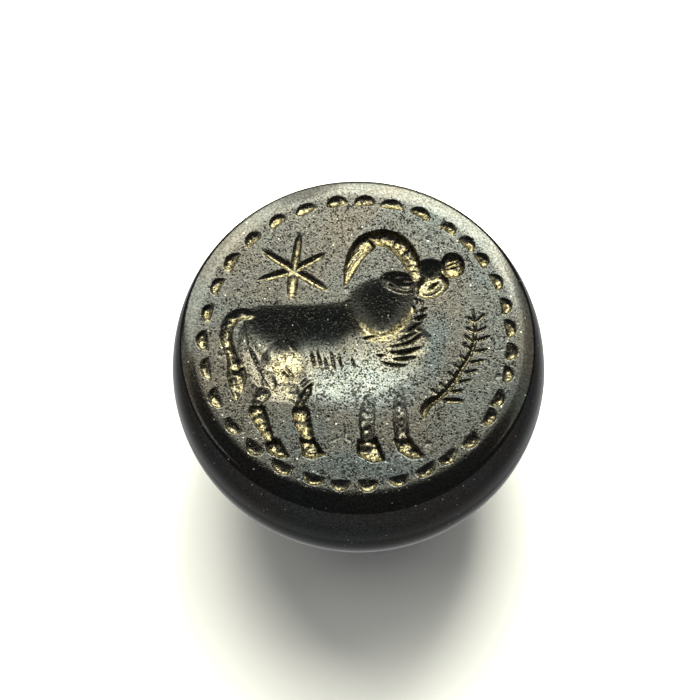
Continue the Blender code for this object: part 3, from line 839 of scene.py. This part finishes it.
# %% Lean and swell
LEAN = 0.119 * MM
LEAN_ANGLE = math.radians(-35)
SMOOTH_ANGLE = math.radians(70)
points = np.empty(len(seal.data.vertices) * 3)
seal.data.vertices.foreach_get("co", points)
points = points.reshape(-1, 3)
radius = np.hypot(points[:, 0], points[:, 1])
above_equator = points[:, 2] > EQUATOR_Z
on_dome = (radius > FINE_RADIUS + TOUCH) | ~above_equator
bulge = np.sin(np.pi * np.clip(points[:, 2] / FACE_Z, 0, 1))
share = bulge * radius / EQUATOR_RADIUS * on_dome
frontness = np.clip(-points[:, 1] / np.maximum(radius, MM), 0, 1)
on_front_wall = frontness * ((radius > WALL[-1][0] * MM - TOUCH) & above_equator)
usual, full = np.array(WALL)[::-1] * MM, np.array(FRONT_WALL)[::-1] * MM
drop = FACE_Z - points[:, 2]
swell, sink = (
    np.interp(drop, usual[:, 1], (full - usual)[:, column]) * on_front_wall for column in (0, 1)
)
grow = 1 + swell / np.maximum(radius, MM)
points[:, 0] = points[:, 0] * grow + LEAN * share * math.cos(LEAN_ANGLE)
points[:, 1] = points[:, 1] * grow + LEAN * share * math.sin(LEAN_ANGLE)
points[:, 2] -= sink
seal.data.vertices.foreach_set("co", points.ravel())
seal.data.update()
make_active(seal)
bpy.ops.object.shade_smooth_by_angle(angle=SMOOTH_ANGLE)
seal.data.calc_loop_triangles()
print("triangles of the seal:", len(seal.data.loop_triangles))

# %% [markdown]
# ## The stone
# Haematite is an iron ore that takes a polish almost like metal: it mirrors the room, but dimly,
# because its own colour is low. So the shader is fully metallic with a dark base colour, and
# nearly all the grey of the face is mirrored light. The earth in the cuts is the opposite, pale
# and matt, and so the engraving stands out; on the walls that face the windows the pale earth is
# also a painted highlight. Pores, flecks and dust break up the mirror.
# The patterns are all computed, and each takes its scale from a size in millimetres.


# %% Material helpers
def srgb(code):
    """An sRGB hex colour as the linear values that a shader takes."""
    values = [int(code[place:place + 2], 16) / 255 for place in (0, 2, 4)]
    linear = [v / 12.92 if v <= 0.04045 else ((v + 0.055) / 1.055) ** 2.4 for v in values]
    return (*linear, 1.0)


def node(tree, kind, settings=None, **sockets):
    """Add a node with its settings. A socket takes a value or a link, a list fills equal names."""
    made = tree.nodes.new("ShaderNode" + kind)
    for title, value in (settings or {}).items():
        setattr(made, title, value)
    for title, values in sockets.items():
        wanted = [s for s in made.inputs if s.enabled and s.name.replace(" ", "_") == title]
        for socket, value in zip(wanted, values if isinstance(values, list) else [values]):
            if isinstance(value, bpy.types.Node):
                value = next(s for s in value.outputs if s.enabled)
            if isinstance(value, bpy.types.NodeSocket):
                tree.links.new(value, socket)
            else:
                socket.default_value = value
    return made


def scale_of(size_mm):
    """The scale that makes a pattern's features about this many millimetres wide."""
    return 1 / (size_mm * MM)


print("a middle grey in linear light:", round(srgb("808080")[0], 3))

# %% [markdown]
# The stone's colour drifts between two dark greys in wide patches. The attribute "film" pulls it
# towards the cooler one, which reads as a thin bluish sheen where the light is mirrored. The earth
# drifts between two ochres. It clings in crumbs, so a fine noise breaks it up within each cut.

# %% Stone and earth
DRIFT_MM = 5.0
CRUMB_MM = 0.20
FILM_PULL = -0.28
STONE_TINTS = ((0.22, "2f3335"), (0.65, "33312e"))
EARTH_TINTS = ((0.42, "92855c"), (0.58, "99906e"))

stone = bpy.data.materials.new("worn_polished_haematite")
stone.use_nodes = True
tree = stone.node_tree
shader = tree.nodes["Principled BSDF"]
shader.inputs["Specular Tint"].default_value = srgb("bcbcbc")  # a dimmer mirror at low angles
where = node(tree, "TexCoord").outputs["Object"]
earth_and_highlight_share, polish, stipple_and_highlight_share, film = (
    node(tree, "Attribute", {"attribute_name": title}).outputs["Fac"]
    for title in FACE_LAYERS
)
drift = node(tree, "TexNoise", Vector=where, Scale=scale_of(DRIFT_MM), Detail=3.0)
bluer = node(tree, "Math", {"operation": "MULTIPLY_ADD"}, Value=[film, FILM_PULL, drift])
tint = node(tree, "ValToRGB", Fac=bluer)
earth = node(tree, "ValToRGB", Fac=drift)
for ramp, stops in ((tint, STONE_TINTS), (earth, EARTH_TINTS)):
    for element, (position, code) in zip(ramp.color_ramp.elements, stops):
        element.position = position
        element.color = srgb(code)
crumbs = node(tree, "TexNoise", Vector=where, Scale=scale_of(CRUMB_MM), Detail=4.0, Roughness=0.7)
patchy = node(tree, "MapRange", Value=crumbs, From_Min=0.40, From_Max=0.60)
earth_and_highlight_mask = node(tree, "Math", {"operation": "MULTIPLY"}, Value=[earth_and_highlight_share, patchy])
colour = node(tree, "Mix", {"data_type": "RGBA"}, Factor=earth_and_highlight_mask, A=tint, B=earth)
print("nodes for stone and earth:", len(tree.nodes))

# %% [markdown]
# Voronoi cells give round pores. A noise changes how far each one reaches, the zones the drill
# roughened get more of them and the polished rim fewer. The real pores and grains are finer than
# the picture can show, where a pixel is 0.06 mm, so both patterns are drawn two to three pixels
# wide. The grain makes the metal lighter and darker. Where the stipple attribute is set, on the
# belly, the haunch, the chest, the thigh and the forelegs, the base colour is raised as well: the
# metal mirrors by its base colour, so this is a painted highlight. A few specks of pale dust lie on
# top.

# %% Pores, grain and dust
PORE_MM = 0.16
PORE_PATCH_MM = 0.35
FLECK_MM = 0.12
DUST_MM = 0.75
MORE_PORES = 0.08
FEWER_PORES = -0.20
STIPPLE_HIGHLIGHT_GAIN = 1.35

pore_cells = node(tree, "TexVoronoi", Vector=where, Scale=scale_of(PORE_MM))
pore_patches = node(tree, "TexNoise", Vector=where, Scale=scale_of(PORE_PATCH_MM), Detail=2.0)
pore_reach = node(
    tree, "MapRange",
    Value=pore_patches, From_Min=0.38, From_Max=0.68, To_Min=0.10, To_Max=0.46,
)
for share, change in ((stipple_and_highlight_share, MORE_PORES), (polish, FEWER_PORES)):
    pore_reach = node(
        tree, "Math", {"operation": "MULTIPLY_ADD"}, Value=[share, change, pore_reach],
    )
within = node(tree, "Math", {"operation": "SUBTRACT"}, Value=[pore_reach, pore_cells])
pores = node(tree, "MapRange", Value=within, From_Min=-0.06, From_Max=0.08, To_Max=0.85)
porous = node(tree, "Mix", {"data_type": "RGBA"}, Factor=pores, A=colour, B=srgb("0c0b09"))
flecks = node(tree, "TexNoise", Vector=where, Scale=scale_of(FLECK_MM), Detail=1.0)
fleck = node(tree, "MapRange", Value=flecks, From_Min=0.35, From_Max=0.65, To_Min=0.62, To_Max=1.38)
# Where the stipple attribute is set the base colour is raised: a painted highlight.
painted_highlight_gain = node(tree, "MapRange", Value=stipple_and_highlight_share, To_Min=1.0, To_Max=STIPPLE_HIGHLIGHT_GAIN)
brightness = node(tree, "Math", {"operation": "MULTIPLY"}, Value=[fleck, painted_highlight_gain])
flecked_and_highlighted = node(tree, "VectorMath", {"operation": "SCALE"}, Vector=porous, Scale=brightness)
dust_cells = node(tree, "TexVoronoi", Vector=where, Scale=scale_of(DUST_MM))
dust = node(
    tree, "MapRange",
    Value=dust_cells, From_Min=0.05, From_Max=0.09, To_Min=0.6, To_Max=0.0,
)
dusty = node(tree, "Mix", {"data_type": "RGBA"}, Factor=dust, A=flecked_and_highlighted, B=srgb("a8a69c"))
print("nodes with pores, grain and dust:", len(tree.nodes))

# %% [markdown]
# The face is worn to a soft shine and the rim is still glossy, while earth and dust are matt and
# hardly mirror. A fine bump gives the mirror its grain: the pores sink in, and small raised
# crystals each catch a window and sparkle. The bump only shades. Every cut is in the mesh.

# %% Shine and relief
FACE_ROUGHNESS, RIM_ROUGHNESS, EARTH_ROUGHNESS = 0.26, 0.14, 0.42
GRAIN_MM = 0.13
CRYSTAL_MM = 0.28
PORE_SINK = -1.2
BUMP_HEIGHT = 0.022 * MM

stone_roughness = node(tree, "MapRange", Value=polish, To_Min=FACE_ROUGHNESS, To_Max=RIM_ROUGHNESS)
roughness = node(tree, "Mix", Factor=earth_and_highlight_mask, A=stone_roughness, B=EARTH_ROUGHNESS)
loose = node(tree, "Math", {"operation": "MAXIMUM"}, Value=[earth_and_highlight_mask, dust])
metal = node(tree, "MapRange", Value=loose, To_Min=1.0, To_Max=0.45)
grain = node(tree, "TexNoise", Vector=where, Scale=scale_of(GRAIN_MM), Detail=2.0, Roughness=0.7)
relief = node(tree, "Math", {"operation": "MULTIPLY_ADD"}, Value=[pores, PORE_SINK, grain])
crystal_cells = node(tree, "TexVoronoi", Vector=where, Scale=scale_of(CRYSTAL_MM))
crystals = node(tree, "MapRange", Value=crystal_cells, From_Max=0.18, To_Min=2.8, To_Max=0.0)
sparkling = node(tree, "Math", {"operation": "ADD"}, Value=[relief, crystals])
strength = node(tree, "MapRange", Value=polish, To_Min=0.75, To_Max=0.06)
bump = node(tree, "Bump", Height=sparkling, Strength=strength, Distance=BUMP_HEIGHT)
tree.links.new(dusty.outputs[2], shader.inputs["Base Color"])
tree.links.new(roughness.outputs[0], shader.inputs["Roughness"])
tree.links.new(metal.outputs["Result"], shader.inputs["Metallic"])
tree.links.new(bump.outputs["Normal"], shader.inputs["Normal"])
seal.data.materials.clear()
seal.data.materials.append(stone)
print("material:", stone.name, "with", len(tree.nodes), "nodes")

# %% [markdown]
# ## The piece and the model
# The seal is one rigid piece, so its mesh rides the root. It is shown in place of the solid of the
# same name, and the slot names its material for whoever dresses the model again.

# %% Place the piece in the frame
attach(seal, "root")
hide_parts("seal")
print(seal.name, "is shown in place of the solid")

# %% [markdown]
# ## Floor, light and camera
# The photograph was taken on white paper, with daylight from behind the seal. One wide soft light
# and two brighter windows give the face its grey shine. A low window lights the walls of the cuts
# that face it, and two weak lights stand for the pale walls of the room at both sides.
# The paper is uncoated: it scatters the light evenly, so it burns out to white and shows nothing
# but the soft shadow.

# %% Floor
FLOOR_SIDE = 1.2
PAPER = (("Base Color", srgb("ecedf1")), ("Roughness", 0.9), ("Specular IOR Level", 0.1))

deselect()
bpy.ops.mesh.primitive_plane_add(size=FLOOR_SIDE)
floor = bpy.context.object
floor.name = "paper_floor"
paper = bpy.data.materials.new("matt_white_paper")
paper.use_nodes = True
for title, value in PAPER:
    paper.node_tree.nodes["Principled BSDF"].inputs[title].default_value = value
floor.data.materials.append(paper)
print("paper floor of", FLOOR_SIDE, "m")

# %% Light
FACE_CENTRE = Vector((0, 0, FACE_Z))
DAYLIGHT = "fffee8"
# Name, azimuth and angle from the zenith in degrees, distance, width and height in metres, and
# how bright the lit rectangle looks.
LIGHTS = (
    ("wide_soft_light", 5, 36, 0.42, 0.34, 0.32, 6.7),
    ("left_window", -30, 43, 0.40, 0.17, 0.17, 11.5),
    ("right_window", 14, 43, 0.40, 0.20, 0.17, 18.5),
    ("low_window", -5, 66, 0.42, 0.34, 0.14, 5.0),
    ("left_wall", -82, 45, 0.42, 0.26, 0.20, 2.0),
    ("right_wall", 68, 42, 0.42, 0.26, 0.20, 1.8),
)


def soft_light(title, azimuth, from_zenith, distance, width, height, brightness):
    """A rectangle of light that faces the seal. Azimuth 0 stands behind the seal."""
    lamp = bpy.data.lights.new(title, "AREA")
    lamp.shape = "RECTANGLE"
    lamp.size = width
    lamp.size_y = height
    lamp.energy = brightness * math.pi * width * height
    lamp.color = srgb(DAYLIGHT)[:3]
    stand = bpy.data.objects.new(title, lamp)
    bpy.context.scene.collection.objects.link(stand)
    azimuth, from_zenith = math.radians(azimuth), math.radians(from_zenith)
    way = Vector((
        math.sin(azimuth) * math.sin(from_zenith),
        math.cos(azimuth) * math.sin(from_zenith),
        math.cos(from_zenith),
    ))
    stand.location = FACE_CENTRE + way * distance
    stand.rotation_euler = way.to_track_quat("Z", "Y").to_euler()


for row in LIGHTS:
    soft_light(*row)
print(len(LIGHTS), "soft lights")

# %% [markdown]
# The world is only what the polished wall mirrors: a dim room above the horizon and a greyer
# table top below it. The paper floor is kept out of the mirror images, since its overexposed
# white would outshine the dark polish, which the photograph doesn't show.

# %% World
ROOM_LIGHT = 0.20
TABLE_LIGHT = 0.62
HORIZON_BLUR = 0.03

world = bpy.data.worlds.new("dim_room")
bpy.context.scene.world = world
world.use_nodes = True
sky = world.node_tree
direction = node(sky, "TexCoord").outputs["Generated"]
height = node(sky, "SeparateXYZ", Vector=direction).outputs["Z"]
glow = node(
    sky, "MapRange",
    Value=height, From_Min=-HORIZON_BLUR, From_Max=0.0, To_Min=TABLE_LIGHT, To_Max=ROOM_LIGHT,
)
sky.links.new(glow.outputs["Result"], sky.nodes["Background"].inputs["Strength"])
sky.nodes["Background"].inputs["Color"].default_value = srgb("ffffff")
floor.visible_glossy = False
print("world:", world.name)

# %% [markdown]
# The camera was fitted to the photograph: its tilt from the oval of the face, its distance from
# how little the far side shrinks, and its aim from the pixel that shows the middle of the face.

# %% Camera
PHOTO_MM_PER_PIXEL = 24.0 / 380.0  # the widest line of the seal spans 380 pixels
CAMERA_TILT = math.radians(22.1)
CAMERA_DISTANCE_PX = 3000
IMAGE_SIZE_PX = 700
FACE_CENTRE_PX = (357.5, 339.9)
SENSOR_MM = 36.0
CLIP_START = 0.005

pixel = PHOTO_MM_PER_PIXEL * MM
back = Vector((0, -math.sin(CAMERA_TILT), math.cos(CAMERA_TILT)))
right = Vector((1, 0, 0))
up = back.cross(right)
lens = bpy.data.cameras.new("photo_camera")
lens.sensor_width = SENSOR_MM
lens.lens = SENSOR_MM * CAMERA_DISTANCE_PX / IMAGE_SIZE_PX
lens.clip_start = CLIP_START
camera = bpy.data.objects.new("photo_camera", lens)
bpy.context.scene.collection.objects.link(camera)
place = FACE_CENTRE + back * CAMERA_DISTANCE_PX * pixel
place -= right * (FACE_CENTRE_PX[0] - IMAGE_SIZE_PX / 2) * pixel
place -= up * (IMAGE_SIZE_PX / 2 - FACE_CENTRE_PX[1]) * pixel
camera.matrix_world = Matrix.Translation(place) @ Matrix((right, up, back)).transposed().to_4x4()
bpy.context.scene.camera = camera
bpy.context.scene.view_settings.view_transform = "Standard"
print("camera", round(place.length / MM), "mm away, lens of", round(lens.lens), "mm")
